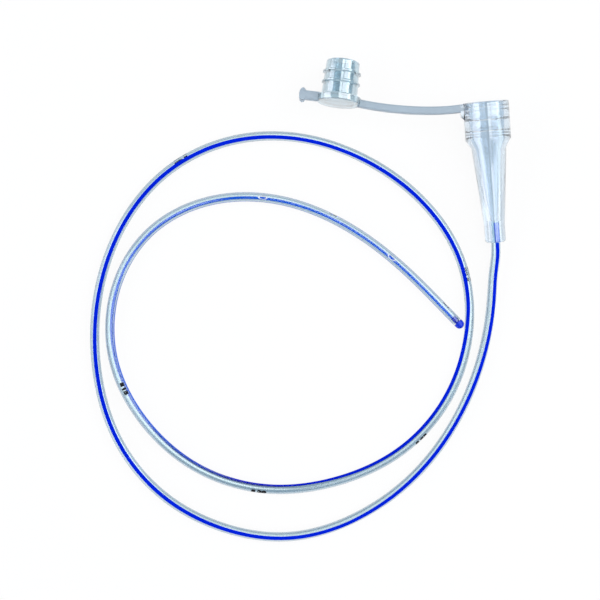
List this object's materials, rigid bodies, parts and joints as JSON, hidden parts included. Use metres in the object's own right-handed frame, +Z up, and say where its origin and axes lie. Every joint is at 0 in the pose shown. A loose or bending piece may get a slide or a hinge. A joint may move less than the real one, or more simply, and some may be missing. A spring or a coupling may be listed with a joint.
{
  "type": "gastric feeding tube",
  "caption": "Soft clear feeding tube in a flat open coil, with side eyes, a blue closed tip, a blue line, and a funnel connector with a tethered stopper.",
  "frame": {"origin": "on the table under the middle of the connector and its stopper, as they lie", "axes": "+Z up from the table, +Y along the funnel towards its mouth as seen from above, to within a degree, +X to the right"},
  "size_m": [0.1243, 0.1358, 0.0142],
  "materials": {
    "soft_pvc_moulding": "smooth soft PVC, translucent pale blue grey",
    "clear_pvc_tube": "smooth clear soft PVC with a blue X-ray line in its wall and black depth numbers",
    "blue_pvc": "smooth blue soft PVC"
  },
  "bodies": {
    "root": {"funnel_connector": "soft_pvc_moulding", "feeding_tube": "clear_pvc_tube", "closed_tip": "blue_pvc"}
  },
  "joints": []
}
